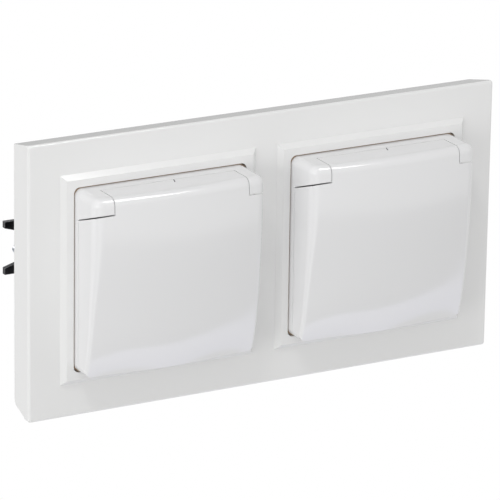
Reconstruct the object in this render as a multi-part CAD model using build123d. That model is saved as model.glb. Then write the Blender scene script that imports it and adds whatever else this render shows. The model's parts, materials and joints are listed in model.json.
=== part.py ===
from build123d import *

import math
import os

# Double weatherproof flush socket: one two-gang frame with two hinged-lid socket inserts.
# Everything is drawn as it lies on the wall, in millimetres: x to the right, y up and
# z out of the wall, with the wall at z = 0. WALL_STANDS_UP then turns the finished
# pieces so that z is up and the front faces -Y.
WALL_STANDS_UP = Plane.XZ

# Frame
GANG_GAP = 15.4
FRAME_END_MARGIN = 42.0
FRAME_HEIGHT = 84.0
FRAME_DEPTH = 11.8
FRAME_WALL = 2.0
FRAME_CORNER = 0.9
FRAME_FRONT_ROUND = 0.8
SIDE_UNDERCUT = 1.2
TOP_UNDERCUT = 2.5
BOTTOM_UNDERCUT = 2.4
BOTTOM_LIP_DEPTH = 3.4
BOTTOM_LIP_STEP = 0.7
BOTTOM_BACK_ROUND = 2.0
RIB_THICKNESS = 2.0
RIB_CLEARANCE = 1.0
STIFFENER_SPACING = 40.0

# Raised surround at each opening, and the ledge that carries the insert
SURROUND_MARGIN = 4.1
OPENING_CORNER = 1.8
SURROUND_RISE = 1.5
SURROUND_BEVEL_ANGLE = 45.0
COLLAR_WALL = 1.8
LEDGE_WIDTH = 1.9
LEDGE_FRONT = 9.0
LEDGE_THICKNESS = 2.0
SEAL_THICKNESS = 1.0
SEAL_WIDTH = 1.5

# Insert, called the cover base
INSERT_SIZE = 55.6
INSERT_CORNER = 2.4
INSERT_GAP = 0.35
RIM_FRONT = 15.3
RIM_WIDTH = 2.8
TRAY_FLOOR = 13.0
SKIRT_WALL = 1.6
SKIRT_GAP = 0.35
WELL_RADIUS = 19.75
WELL_DEPTH = 17.5
WELL_WALL = 1.5
WELL_FLOOR_THICKNESS = 2.5
GUIDE_RIB_WIDTH = 5.0
GUIDE_RIB_HEIGHT = 1.2
PIN_SPACING = 19.0
PIN_HOLE_RADIUS = 2.6

# Hinge
HINGE_ROUND = 2.4
HINGE_SETBACK = 1.7
EAR_WIDTH = 5.9
EAR_BACK_HEIGHT = 8.6
EAR_FRONT_HEIGHT = 4.2
EAR_SIDE_GAP = 0.25
EAR_SEAM_GAP = 0.4
EAR_SWEEP_GAP = 0.3
BRIDGE_THICKNESS = 5.0
LID_TOP_BACK = 17.4
LID_SWEEP_GAP = 0.1
HINGE_PIN_RADIUS = 0.9
PIN_PRESS_GAP = 0.01
PIN_RUNNING_GAP = 0.05
PIN_END_SKIN = 1.8

# Lid
LID_REST_GAP = 0.15
LID_WALL = 1.8
LID_SHOULDER = 1.0
LID_TOP_SIDE = 25.7
LID_TOP_CROWN = 2.2
LID_TOP_ROUND = 2.6
LID_CROWN_DROP = 13.0
LID_MIDDLE_Y = -4.0
LID_MIDDLE_SIDE = 23.95
LID_MIDDLE_CROWN = 2.3
LID_MIDDLE_ROUND = 1.6
LID_LOWER_RISE = 8.8
LID_LOWER_SIDE = 21.9
LID_LOWER_CROWN = 2.2
LID_LOWER_ROUND = 1.2
LID_BOTTOM_SIDE = 19.6
LID_BOTTOM_CROWN = 1.8
LID_BOTTOM_ROUND = 1.0
LID_BOTTOM_SHOULDER = 0.0
LID_INNER_ROUND = 0.5
GASKET_WIDTH = 2.0
GASKET_DEPTH = 2.0
GASKET_GAP = 0.05
GASKET_REST_GAP = 0.1

# Closing spring on the hinge pin
SPRING_WIRE_RADIUS = 0.25
SPRING_TURNS = 24
SPRING_PIN_GAP = 0.15
SPRING_POCKET_GAP = 0.2
SPRING_LID_LEG_DROP = 6.0

# Plate, carrier and their fasteners
PLATE_SIDE_GAP = 3.0
PLATE_END_MARGIN = 8.0
PLATE_CORNER = 4.0
PLATE_THICKNESS = 1.0
PLATE_HOLE_GAP = 0.75
BOX_SCREW_SPACING = 60.0
BOX_SLOT_WIDTH = 4.2
BOX_SLOT_LENGTH = 6.0
CARRIER_SIZE = 48.0
CARRIER_CORNER = 8.0
CARRIER_BACK = -28.0
CARRIER_WELL_GAP = 0.95
CARRIER_REAR_TAPER = 2.0
RIVET_SPACING = 38.0
RIVET_RADIUS = 1.5
RIVET_DEPTH = 5.0
RIVET_HEAD_RADIUS = 2.6
RIVET_HEAD_HEIGHT = 0.9
SCREW_GAP = 0.05
COVER_SCREW_RADIUS = 1.5
COVER_SCREW_HEAD_RADIUS = 3.0
COVER_SCREW_HEAD_HEIGHT = 1.5
COVER_SCREW_LENGTH = 14.0
SLOT_WIDTH = 0.8
SLOT_DEPTH = 0.9

# Contacts
BOW_WIDTH = 6.0
BOW_THICKNESS = 0.8
BOW_BEND = 0.35
BOW_NOTCH_GAP = 0.4
CLIP_INSET = 1.2
CLIP_TOP_GAP = 1.5
SLEEVE_RADIUS = 2.45
SLEEVE_WALL = 0.6
SLEEVE_LENGTH = 10.0
SLEEVE_SLIT = 1.2
FOOT_SIZE = 8.0
FOOT_THICKNESS = 1.0
CONTACT_GAP = 0.15
TERMINAL_RADIUS = 1.75
TERMINAL_HEAD_RADIUS = 3.0
TERMINAL_HEAD_HEIGHT = 2.0
EARTH_TERMINAL_Y = 13.0
WIRE_HOLE_RADIUS = 1.6
WIRE_HOLE_OFFSET = 6.5

# Spreading claws
CLAW_SKIRT_GAP = 0.7
CLAW_SCREW_RADIUS = 1.6
CLAW_SCREW_HEAD_RADIUS = 3.0
CLAW_SCREW_HEAD_HEIGHT = 2.0
CLAW_SCREW_TIP = -22.0
CLAW_INSET = 4.0
CLAW_REACH = 3.4
CLAW_HALF_HEIGHT = 8.2
CLAW_PRONG_HEIGHT = 4.2
CLAW_PRONG_POINT = 2.0
CLAW_SHEET = 1.5
CLAW_NUT_FRONT = -11.0
CLAW_NUT_THICKNESS = 2.2
CLAW_BACK = -24.0

# Sizes that follow from the ones above
GANG_PITCH = INSERT_SIZE + GANG_GAP
FRAME_WIDTH = GANG_PITCH + 2 * FRAME_END_MARGIN
SURROUND_SIZE = INSERT_SIZE + 2 * SURROUND_MARGIN
OPENING_SIZE = INSERT_SIZE + 2 * INSERT_GAP
LEDGE_OPENING = OPENING_SIZE - 2 * LEDGE_WIDTH
FLANGE_BACK = LEDGE_FRONT + SEAL_THICKNESS
SKIRT_SIZE = LEDGE_OPENING - 2 * SKIRT_GAP
HALF_INSERT = INSERT_SIZE / 2
WELL_FLOOR = TRAY_FLOOR - WELL_DEPTH
WELL_BACK = WELL_FLOOR - WELL_FLOOR_THICKNESS
WELL_OUTER_RADIUS = WELL_RADIUS + WELL_WALL
CARRIER_FLOOR = WELL_BACK - BOW_THICKNESS
HINGE_Y = HALF_INSERT - HINGE_ROUND
HINGE_Z = LID_TOP_SIDE - HINGE_SETBACK
EAR_INNER_X = HALF_INSERT - EAR_WIDTH
EAR_SEAM_BACK_Y = HALF_INSERT - EAR_BACK_HEIGHT
EAR_SEAM_FRONT_Y = HALF_INSERT - EAR_FRONT_HEIGHT
LID_BACK = RIM_FRONT + LID_REST_GAP
LID_FRONT = LID_TOP_SIDE + LID_TOP_CROWN
LID_CROWN_START_Y = HALF_INSERT - LID_CROWN_DROP
LID_LOWER_Y = LID_LOWER_RISE - HALF_INSERT
LID_SWEEP_RADIUS = ((HALF_INSERT - HINGE_Y) ** 2 + (HINGE_Z - LID_TOP_BACK) ** 2) ** 0.5
EAR_FRONT = LID_FRONT - LID_TOP_CROWN * (EAR_INNER_X / HALF_INSERT) ** 2
EAR_CORNER_RADIUS = ((HINGE_Y - EAR_SEAM_FRONT_Y) ** 2 + (EAR_FRONT - HINGE_Z) ** 2) ** 0.5
SPRING_COIL_RADIUS = HINGE_PIN_RADIUS + SPRING_PIN_GAP + SPRING_WIRE_RADIUS
SPRING_LENGTH = 2 * SPRING_WIRE_RADIUS * SPRING_TURNS
PLATE_WIDTH = GANG_PITCH - PLATE_SIDE_GAP
PLATE_HEIGHT = FRAME_HEIGHT - 2 * PLATE_END_MARGIN
CLAW_SCREW_X = SKIRT_SIZE / 2 + CLAW_SCREW_HEAD_RADIUS + CLAW_SKIRT_GAP
CLAW_INNER_X = CLAW_SCREW_X - CLAW_INSET
CLAW_REACH_X = CLAW_SCREW_X + CLAW_REACH
LID_TOP_ROW = (LID_TOP_SIDE, LID_TOP_CROWN, LID_TOP_ROUND, LID_SHOULDER)
BEYOND = 100.0


def slab(width, height, back, front, corner=0.0):
    """A block standing off the wall between two heights, with a square or rounded outline."""
    outline = RectangleRounded(width, height, corner) if corner else Rectangle(width, height)
    return Pos(0, 0, back) * extrude(outline, front - back)


def post(radius, back, front, x=0.0, y=0.0):
    """A round rod standing straight off the wall."""
    return Pos(x, y, back) * extrude(Circle(radius), front - back)


def hinge_rod(radius, start, end):
    """A round rod on the hinge axis, from one x to another."""
    return Pos(start, HINGE_Y, HINGE_Z) * Rot(0, 90, 0) * extrude(Circle(radius), end - start)


def side_profile(points, start, end):
    """A closed outline of (y, z) points, drawn out along x."""
    face = make_face(Polyline(*points, close=True))
    return Pos(start, 0, 0) * extrude(Plane.YZ * face, end - start)


def slot_cut(head_front, x=0.0, y=0.0):
    """The driver slot of a screw head, cut from the head's front face."""
    cut = slab(BEYOND, SLOT_WIDTH, head_front - SLOT_DEPTH, head_front + SLOT_DEPTH)
    return Pos(x, y, 0) * cut


def make_frame():
    """The moulded frame: an undercut tray, two raised surrounds, ledges and back ribs."""
    top = FRAME_HEIGHT / 2
    bottom = -FRAME_HEIGHT / 2
    step_z = FRAME_DEPTH - BOTTOM_LIP_DEPTH
    back_bottom = bottom + BOTTOM_UNDERCUT
    widest = FRAME_DEPTH - FRAME_FRONT_ROUND
    side_outline = [
        (top - TOP_UNDERCUT, 0),
        (top, widest),
        (top, FRAME_DEPTH),
        (bottom, FRAME_DEPTH),
        (bottom, step_z),
        (bottom + BOTTOM_LIP_STEP, step_z),
        (back_bottom, 0),
    ]
    half = FRAME_WIDTH / 2
    plan_outline = [
        (-half + SIDE_UNDERCUT, 0),
        (half - SIDE_UNDERCUT, 0),
        (half, widest),
        (half, FRAME_DEPTH),
        (-half, FRAME_DEPTH),
        (-half, widest),
    ]
    body = slab(FRAME_WIDTH, FRAME_HEIGHT, 0, FRAME_DEPTH, FRAME_CORNER)
    body = fillet(body.edges().group_by(Axis.Z)[-1], FRAME_FRONT_ROUND)
    side = side_profile(side_outline, -half, half)
    back_edges = side.edges().filter_by(Axis.X).group_by(Axis.Z)[0]
    body &= fillet(back_edges.sort_by(Axis.Y)[:1], BOTTOM_BACK_ROUND)
    plan = make_face(Polyline(*plan_outline, close=True))
    body &= extrude(Plane.XZ * plan, FRAME_HEIGHT, both=True)

    cavity_top = top - TOP_UNDERCUT - FRAME_WALL
    cavity_bottom = back_bottom + BOTTOM_BACK_ROUND + FRAME_WALL
    cavity_height = cavity_top - cavity_bottom
    cavity_width = FRAME_WIDTH - 2 * (SIDE_UNDERCUT + FRAME_WALL)
    cavity_front = FRAME_DEPTH - FRAME_WALL
    cavity_middle = Pos(0, (cavity_top + cavity_bottom) / 2, 0)
    body -= cavity_middle * slab(cavity_width, cavity_height, 0, cavity_front)
    body += cavity_middle * slab(RIB_THICKNESS, cavity_height, 0, cavity_front)

    collar_size = OPENING_SIZE + 2 * COLLAR_WALL
    ledge_back = LEDGE_FRONT - LEDGE_THICKNESS
    rib_back = PLATE_THICKNESS + RIB_CLEARANCE
    for gang_x in (-GANG_PITCH / 2, GANG_PITCH / 2):
        gang = Pos(gang_x, 0, 0)
        outline = Rectangle(SURROUND_SIZE, SURROUND_SIZE)
        raised = extrude(outline, SURROUND_RISE, taper=SURROUND_BEVEL_ANGLE)
        body += gang * Pos(0, 0, FRAME_DEPTH) * raised
        body += gang * slab(collar_size, collar_size, ledge_back, FRAME_DEPTH, OPENING_CORNER)
        for offset in (-STIFFENER_SPACING / 2, STIFFENER_SPACING / 2):
            rib = slab(RIB_THICKNESS, cavity_height, rib_back, cavity_front)
            body += Pos(gang_x + offset, 0, 0) * cavity_middle * rib
        body -= gang * slab(OPENING_SIZE, OPENING_SIZE, LEDGE_FRONT, BEYOND, OPENING_CORNER)
        body -= gang * slab(LEDGE_OPENING, LEDGE_OPENING, 0, BEYOND, OPENING_CORNER)
    return body


def ear_outline():
    """Side view of a hinge ear: slanted underside, upright front, flat top."""
    return [
        (HALF_INSERT, RIM_FRONT),
        (HALF_INSERT, LID_FRONT),
        (EAR_SEAM_FRONT_Y, LID_FRONT),
        (EAR_SEAM_BACK_Y, RIM_FRONT),
    ]


def make_ear(side):
    """A hinge ear with the lid's own front section and a rounded top edge."""
    section = lid_section(HALF_INSERT, 0, RIM_FRONT, *LID_TOP_ROW)
    front = extrude(section, INSERT_SIZE, dir=(0, -1, 0))
    start = EAR_INNER_X if side > 0 else -HALF_INSERT
    ear = front & side_profile(ear_outline(), start, start + EAR_WIDTH)
    top_edges = ear.edges().group_by(Axis.Y)[-1]
    outer_edges = top_edges.filter_by(lambda edge: abs(edge.center().X) > EAR_INNER_X + INSERT_GAP)
    round_edges = outer_edges.filter_by(lambda edge: edge.center().Z > RIM_FRONT + INSERT_GAP)
    return fillet(round_edges, HINGE_ROUND)


def clip_notch(side):
    """The gap in the well's wall and floor that one earth clip stands in."""
    width = BOW_WIDTH + 2 * BOW_NOTCH_GAP
    inner = WELL_RADIUS - CLIP_INSET - BOW_THICKNESS - BOW_NOTCH_GAP
    outer = WELL_OUTER_RADIUS + BOW_NOTCH_GAP
    front = TRAY_FLOOR - CLIP_TOP_GAP + BOW_NOTCH_GAP
    block = slab(width, outer - inner, WELL_BACK - BOW_NOTCH_GAP, front)
    return Pos(0, side * (inner + outer) / 2, 0) * block


def make_cover_base():
    """The insert: rim and tray, skirt, round plug well, hinge ears and the bridge between them."""
    base = slab(INSERT_SIZE, INSERT_SIZE, FLANGE_BACK, RIM_FRONT, INSERT_CORNER)
    tray_size = INSERT_SIZE - 2 * RIM_WIDTH
    base -= slab(tray_size, tray_size, TRAY_FLOOR, RIM_FRONT, INSERT_CORNER)

    skirt = slab(SKIRT_SIZE, SKIRT_SIZE, PLATE_THICKNESS, FLANGE_BACK, INSERT_CORNER)
    skirt_hollow = SKIRT_SIZE - 2 * SKIRT_WALL
    skirt -= slab(skirt_hollow, skirt_hollow, PLATE_THICKNESS, FLANGE_BACK)
    base += skirt

    base += post(WELL_OUTER_RADIUS, WELL_BACK, FLANGE_BACK)
    well = post(WELL_RADIUS, WELL_FLOOR, RIM_FRONT)
    guide_x = WELL_RADIUS - GUIDE_RIB_HEIGHT
    for side in (-1, 1):
        rib = slab(2 * GUIDE_RIB_HEIGHT, GUIDE_RIB_WIDTH, WELL_FLOOR, TRAY_FLOOR)
        well -= Pos(side * (guide_x + GUIDE_RIB_HEIGHT), 0, 0) * rib
    base -= well
    for side in (-1, 1):
        base -= clip_notch(side)
        base -= post(PIN_HOLE_RADIUS, WELL_BACK, WELL_FLOOR, side * PIN_SPACING / 2)
    base -= post(COVER_SCREW_RADIUS + SCREW_GAP, WELL_BACK, WELL_FLOOR)

    bridge = slab(2 * EAR_INNER_X, BRIDGE_THICKNESS, FLANGE_BACK, LID_TOP_BACK)
    bridge = Pos(0, HALF_INSERT - BRIDGE_THICKNESS / 2, 0) * bridge
    bridge -= hinge_rod(LID_SWEEP_RADIUS + LID_SWEEP_GAP, -EAR_INNER_X, EAR_INNER_X)
    base += bridge
    for side in (-1, 1):
        base += make_ear(side)
    base -= hinge_rod(HINGE_PIN_RADIUS + PIN_PRESS_GAP, PIN_END_SKIN - HALF_INSERT, HALF_INSERT)
    return base


def make_frame_seal():
    """The flat rubber ring clamped between the insert's flange and the frame's ledge."""
    seal = slab(INSERT_SIZE, INSERT_SIZE, LEDGE_FRONT, FLANGE_BACK, INSERT_CORNER)
    inner = INSERT_SIZE - 2 * SEAL_WIDTH
    return seal - slab(inner, inner, LEDGE_FRONT, FLANGE_BACK, INSERT_CORNER)


def lid_section(y, inset, back, side, crown, corner, shoulder):
    """One cross-section of the lid at height y: upright sides, rounded edges and an arched front.

    A shoulder of 1 makes the arch even, and 0 flattens it towards its sides.
    """
    half = HALF_INSERT - inset
    rise = shoulder * 2 * crown / half
    lean = math.atan(rise)
    arch_end = half - corner * math.cos(lean)
    arch_height = side + corner * math.sin(lean)
    arch = Spline(
        (-arch_end, arch_height),
        (0, side + crown),
        (arch_end, arch_height),
        tangents=[(1, rise), (1, -rise)],
    )
    right = TangentArc((arch_end, arch_height), (half, side - corner), tangent=(1, -rise))
    left = TangentArc((-arch_end, arch_height), (-half, side - corner), tangent=(-1, -rise))
    sides = Polyline((half, side - corner), (half, back), (-half, back), (-half, side - corner))
    return Plane.XZ.offset(-y) * make_face(left + arch + right + sides)


def lid_body(inset, back):
    """The crowned block of the lid, drawn in from all its outer faces by an inset."""
    half = HALF_INSERT - inset
    rows = [
        (half, *LID_TOP_ROW),
        (EAR_SEAM_FRONT_Y, *LID_TOP_ROW),
        (LID_CROWN_START_Y, *LID_TOP_ROW),
        (LID_MIDDLE_Y, LID_MIDDLE_SIDE, LID_MIDDLE_CROWN, LID_MIDDLE_ROUND, LID_SHOULDER),
        (LID_LOWER_Y, LID_LOWER_SIDE, LID_LOWER_CROWN, LID_LOWER_ROUND, LID_SHOULDER),
        (-half, LID_BOTTOM_SIDE, LID_BOTTOM_CROWN, LID_BOTTOM_ROUND, LID_BOTTOM_SHOULDER),
    ]
    sections = []
    for y, side, crown, corner, shoulder in rows:
        inner_corner = max(corner - inset, LID_INNER_ROUND)
        sections.append(lid_section(y, inset, back, side - inset, crown, inner_corner, shoulder))
    return loft(sections)


def ear_cuts(margin):
    """The two upper corners of the lid that make room for the hinge ears, widened by a margin."""
    inner = EAR_INNER_X - EAR_SIDE_GAP - margin
    drop = EAR_SEAM_GAP + margin
    seam_rise = (EAR_SEAM_FRONT_Y - EAR_SEAM_BACK_Y) / (LID_FRONT - RIM_FRONT)
    back_y = EAR_SEAM_BACK_Y - seam_rise * RIM_FRONT - drop
    front_y = back_y + seam_rise * BEYOND
    outline = [(back_y, 0), (front_y, BEYOND), (BEYOND, BEYOND), (BEYOND, 0)]
    sweep = EAR_CORNER_RADIUS + EAR_SWEEP_GAP + margin
    cuts = Part()
    for start, end in ((-BEYOND, -inner), (inner, BEYOND)):
        cuts += side_profile(outline, start, end) + hinge_rod(sweep, start, end)
    return cuts


def make_lid():
    """The convex lid: crowned shell, knuckles on the hinge axis and corners cut for the ears."""
    lid = lid_body(0, LID_BACK)
    lid &= slab(INSERT_SIZE, INSERT_SIZE, 0, BEYOND, INSERT_CORNER)
    lid -= ear_cuts(0)
    top_edges = lid.edges().group_by(Axis.Y)[-1]
    lid = fillet(top_edges.sort_by(Axis.Z)[-1:], HINGE_ROUND)

    bridge_y = HALF_INSERT - BRIDGE_THICKNESS
    lid -= Pos(0, bridge_y + BEYOND / 2, LID_TOP_BACK - BEYOND / 2) * Box(BEYOND, BEYOND, BEYOND)
    lid -= lid_body(LID_WALL, LID_BACK - LID_WALL) - ear_cuts(LID_WALL)

    knuckle_end = EAR_INNER_X - EAR_SIDE_GAP
    pocket_end = SPRING_LENGTH / 2 + SPRING_POCKET_GAP
    pocket_radius = SPRING_COIL_RADIUS + SPRING_WIRE_RADIUS + SPRING_POCKET_GAP
    lid += hinge_rod(HINGE_ROUND, -knuckle_end, -pocket_end)
    lid += hinge_rod(HINGE_ROUND, pocket_end, knuckle_end)
    lid -= hinge_rod(pocket_radius, -pocket_end, pocket_end)
    return lid - hinge_rod(HINGE_PIN_RADIUS + PIN_RUNNING_GAP, -HALF_INSERT, HALF_INSERT)


def make_lid_gasket():
    """The square rubber ring inside the lid that presses on the insert's rim."""
    size = INSERT_SIZE - 2 * (LID_WALL + GASKET_GAP)
    back = RIM_FRONT + GASKET_REST_GAP
    top = EAR_SEAM_BACK_Y - LID_WALL - EAR_SEAM_GAP - GASKET_GAP
    height = top + size / 2
    ring = slab(size, height, back, back + GASKET_DEPTH)
    ring -= slab(size - 2 * GASKET_WIDTH, height - 2 * GASKET_WIDTH, back, back + GASKET_DEPTH)
    ring = Pos(0, top - height / 2, 0) * ring
    return ring & lid_body(LID_WALL + GASKET_GAP, LID_BACK - LID_WALL)


def make_hinge_pin():
    """The plain steel pin that stays in the ears while the lid turns on it."""
    return hinge_rod(HINGE_PIN_RADIUS, PIN_END_SKIN - HALF_INSERT, HALF_INSERT - PIN_END_SKIN)


def make_hinge_spring():
    """The close-wound closing spring: ridged turns, one leg to the lid and one to the bridge."""
    half = SPRING_LENGTH / 2
    outer = SPRING_COIL_RADIUS + SPRING_WIRE_RADIUS
    outline = [(-half, outer - 2 * SPRING_WIRE_RADIUS), (-half, SPRING_COIL_RADIUS)]
    for number in range(SPRING_TURNS):
        turn_start = 2 * SPRING_WIRE_RADIUS * number - half
        outline.append((turn_start + SPRING_WIRE_RADIUS, outer))
        outline.append((turn_start + 2 * SPRING_WIRE_RADIUS, SPRING_COIL_RADIUS))
    outline.append((half, outer - 2 * SPRING_WIRE_RADIUS))
    coil = revolve(make_face(Polyline(*outline, close=True)), Axis.X)
    spring = Pos(0, HINGE_Y, HINGE_Z) * coil

    wire = Circle(SPRING_WIRE_RADIUS)
    leg_x = half - SPRING_WIRE_RADIUS
    lid_leg = Rot(-90, 0, 0) * extrude(wire, SPRING_LID_LEG_DROP)
    spring += Pos(-leg_x, HINGE_Y - SPRING_LID_LEG_DROP, HINGE_Z - SPRING_COIL_RADIUS) * lid_leg
    bridge_leg = extrude(wire, HINGE_Z - LID_TOP_BACK)
    return spring + Pos(leg_x, HINGE_Y - SPRING_COIL_RADIUS, LID_TOP_BACK) * bridge_leg


def make_cover_screw():
    """The centre screw on the floor of the well."""
    head_front = WELL_FLOOR + COVER_SCREW_HEAD_HEIGHT
    screw = post(COVER_SCREW_HEAD_RADIUS, WELL_FLOOR, head_front)
    screw = chamfer(screw.edges().group_by(Axis.Z)[-1], SLOT_WIDTH / 2)
    screw += post(COVER_SCREW_RADIUS, WELL_FLOOR - COVER_SCREW_LENGTH, WELL_FLOOR)
    return screw - slot_cut(head_front)


def rivet_places():
    """The four rivet centres at the corners of the carrier."""
    return [(x * RIVET_SPACING / 2, y * RIVET_SPACING / 2) for x in (-1, 1) for y in (-1, 1)]


def make_support_plate():
    """The sheet steel plate on the wall, with its well hole, box screw slots and claw screw holes."""
    plate = slab(PLATE_WIDTH, PLATE_HEIGHT, 0, PLATE_THICKNESS, PLATE_CORNER)
    plate -= post(WELL_OUTER_RADIUS + PLATE_HOLE_GAP, 0, PLATE_THICKNESS)
    slot = SlotOverall(BOX_SLOT_LENGTH, BOX_SLOT_WIDTH, rotation=90)
    for side in (-1, 1):
        plate -= Pos(0, side * BOX_SCREW_SPACING / 2, 0) * extrude(slot, PLATE_THICKNESS)
        plate -= post(CLAW_SCREW_RADIUS + SCREW_GAP, 0, PLATE_THICKNESS, side * CLAW_SCREW_X)
    for x, y in rivet_places():
        plate -= post(RIVET_RADIUS + SCREW_GAP, 0, PLATE_THICKNESS, x, y)
    return plate


def make_plate_rivets():
    """The four rivets that hold the carrier on the back of the plate."""
    rivets = Part()
    for x, y in rivet_places():
        head = post(RIVET_HEAD_RADIUS, PLATE_THICKNESS, PLATE_THICKNESS + RIVET_HEAD_HEIGHT, x, y)
        head = chamfer(head.edges().group_by(Axis.Z)[-1], RIVET_HEAD_HEIGHT / 2)
        rivets += head + post(RIVET_RADIUS, -RIVET_DEPTH, PLATE_THICKNESS, x, y)
    return rivets


def contact_back():
    """The height of the contact feet's backs, where the terminal screws press."""
    return CARRIER_FLOOR - SLEEVE_LENGTH - FOOT_THICKNESS


def terminal_places():
    """The three terminal screw centres: live, neutral and earth."""
    return [(-PIN_SPACING / 2, 0), (PIN_SPACING / 2, 0), (0, EARTH_TERMINAL_Y)]


def make_contact_carrier():
    """The insulating block: seat for the well, contact pockets, screw and wire holes."""
    carrier = slab(CARRIER_SIZE, CARRIER_SIZE, CARRIER_BACK, 0, CARRIER_CORNER)
    carrier = chamfer(carrier.edges().group_by(Axis.Z)[0], CARRIER_REAR_TAPER)
    carrier -= post(WELL_OUTER_RADIUS + CARRIER_WELL_GAP, CARRIER_FLOOR, 0)
    screw_end = WELL_FLOOR - COVER_SCREW_LENGTH - SCREW_GAP
    carrier -= post(COVER_SCREW_RADIUS + SCREW_GAP, screw_end, CARRIER_FLOOR)
    for x, y in rivet_places():
        carrier -= post(RIVET_RADIUS + SCREW_GAP, -RIVET_DEPTH - SCREW_GAP, 0, x, y)
    pocket = FOOT_SIZE + 2 * CONTACT_GAP
    for x, y in terminal_places():
        carrier -= Pos(x, y, 0) * slab(pocket, pocket, contact_back(), CARRIER_FLOOR)
        carrier -= post(TERMINAL_RADIUS + SCREW_GAP, CARRIER_BACK, contact_back(), x, y)
        recess = TERMINAL_HEAD_RADIUS + CONTACT_GAP
        carrier -= post(recess, CARRIER_BACK, CARRIER_BACK + TERMINAL_HEAD_HEIGHT, x, y)
        wire_end = CARRIER_FLOOR - SLEEVE_LENGTH / 2
        carrier -= post(WIRE_HOLE_RADIUS, CARRIER_BACK, wire_end, x, y - WIRE_HOLE_OFFSET)
    return carrier


def make_pin_contact(side):
    """One split pin sleeve on its square foot."""
    x = side * PIN_SPACING / 2
    foot_front = contact_back() + FOOT_THICKNESS
    sleeve_front = CARRIER_FLOOR - CONTACT_GAP
    contact = Pos(x, 0, 0) * slab(FOOT_SIZE, FOOT_SIZE, contact_back(), foot_front)
    contact += post(SLEEVE_RADIUS + SLEEVE_WALL, foot_front, sleeve_front, x)
    contact -= post(SLEEVE_RADIUS, foot_front, sleeve_front, x)
    slit = slab(2 * SLEEVE_RADIUS, SLEEVE_SLIT, foot_front, sleeve_front)
    return contact - Pos(x + side * (SLEEVE_RADIUS + SLEEVE_WALL), 0, 0) * slit


def make_earth_bow():
    """The earth strip: a U with its clips in the well's notches, and a terminal block behind."""
    reach = WELL_RADIUS - CLIP_INSET
    clip_end = TRAY_FLOOR - CLIP_TOP_GAP
    outer = slab(BOW_WIDTH, 2 * reach, CARRIER_FLOOR, clip_end)
    outer_bends = outer.edges().filter_by(Axis.X).group_by(Axis.Z)[0]
    outer = fillet(outer_bends, BOW_BEND + BOW_THICKNESS)
    inner = slab(BOW_WIDTH, 2 * (reach - BOW_THICKNESS), WELL_BACK, clip_end + BOW_THICKNESS)
    inner_bends = inner.edges().filter_by(Axis.X).group_by(Axis.Z)[0]
    bow = outer - fillet(inner_bends, BOW_BEND)
    bow -= post(COVER_SCREW_RADIUS + SCREW_GAP, CARRIER_FLOOR, WELL_BACK)
    block = slab(BOW_WIDTH, BOW_WIDTH, contact_back(), CARRIER_FLOOR)
    return bow + Pos(0, EARTH_TERMINAL_Y, 0) * block


def make_terminal_screws():
    """The three wire clamp screws, with their heads sunk in the carrier's back."""
    screws = Part()
    for x, y in terminal_places():
        head_back = CARRIER_BACK + TERMINAL_HEAD_HEIGHT
        screw = post(TERMINAL_HEAD_RADIUS, CARRIER_BACK, head_back, x, y)
        screw += post(TERMINAL_RADIUS, head_back, contact_back(), x, y)
        slot = slab(BEYOND, SLOT_WIDTH, CARRIER_BACK - SLOT_DEPTH, CARRIER_BACK + SLOT_DEPTH)
        screws += screw - Pos(x, y, 0) * slot
    return screws


def make_claw(side):
    """A forked sheet steel claw: nut plate, two arms and two pointed prongs bent outwards."""
    nut_back = CLAW_NUT_FRONT - CLAW_NUT_THICKNESS
    width = CLAW_REACH_X - CLAW_INNER_X
    middle = Pos(CLAW_INNER_X + width / 2, 0, 0)
    claw = middle * slab(width, 2 * CLAW_HALF_HEIGHT, nut_back, CLAW_NUT_FRONT)
    claw -= post(CLAW_SCREW_RADIUS + SCREW_GAP, nut_back, CLAW_NUT_FRONT, CLAW_SCREW_X)
    prong_inner = CLAW_HALF_HEIGHT - CLAW_PRONG_HEIGHT
    for up in (-1, 1):
        arm = slab(CLAW_SHEET, CLAW_PRONG_HEIGHT, CLAW_BACK, nut_back)
        prong_y = up * (prong_inner + CLAW_PRONG_HEIGHT / 2)
        claw += Pos(CLAW_INNER_X + CLAW_SHEET / 2, prong_y, 0) * arm
        outline = [
            (CLAW_INNER_X, up * prong_inner),
            (CLAW_REACH_X, up * (CLAW_HALF_HEIGHT - CLAW_PRONG_POINT)),
            (CLAW_REACH_X, up * CLAW_HALF_HEIGHT),
            (CLAW_INNER_X, up * CLAW_HALF_HEIGHT),
        ]
        prong = make_face(Polyline(*outline, close=True))
        claw += Pos(0, 0, CLAW_BACK) * extrude(prong, CLAW_SHEET, dir=(0, 0, 1))
    return claw if side > 0 else mirror(claw, Plane.YZ)


def make_claw_screw(side):
    """The screw that draws a claw forward, its head on the front of the plate."""
    x = side * CLAW_SCREW_X
    head_front = PLATE_THICKNESS + CLAW_SCREW_HEAD_HEIGHT
    screw = post(CLAW_SCREW_HEAD_RADIUS, PLATE_THICKNESS, head_front, x)
    screw = chamfer(screw.edges().group_by(Axis.Z)[-1], SLOT_WIDTH)
    screw += post(CLAW_SCREW_RADIUS, CLAW_SCREW_TIP, PLATE_THICKNESS, x)
    return screw - slot_cut(head_front, x)


def place(gang_x, shape):
    """A gang's piece, moved to its gang and stood up against the wall."""
    return WALL_STANDS_UP * Pos(gang_x, 0, 0) * shape


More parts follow.
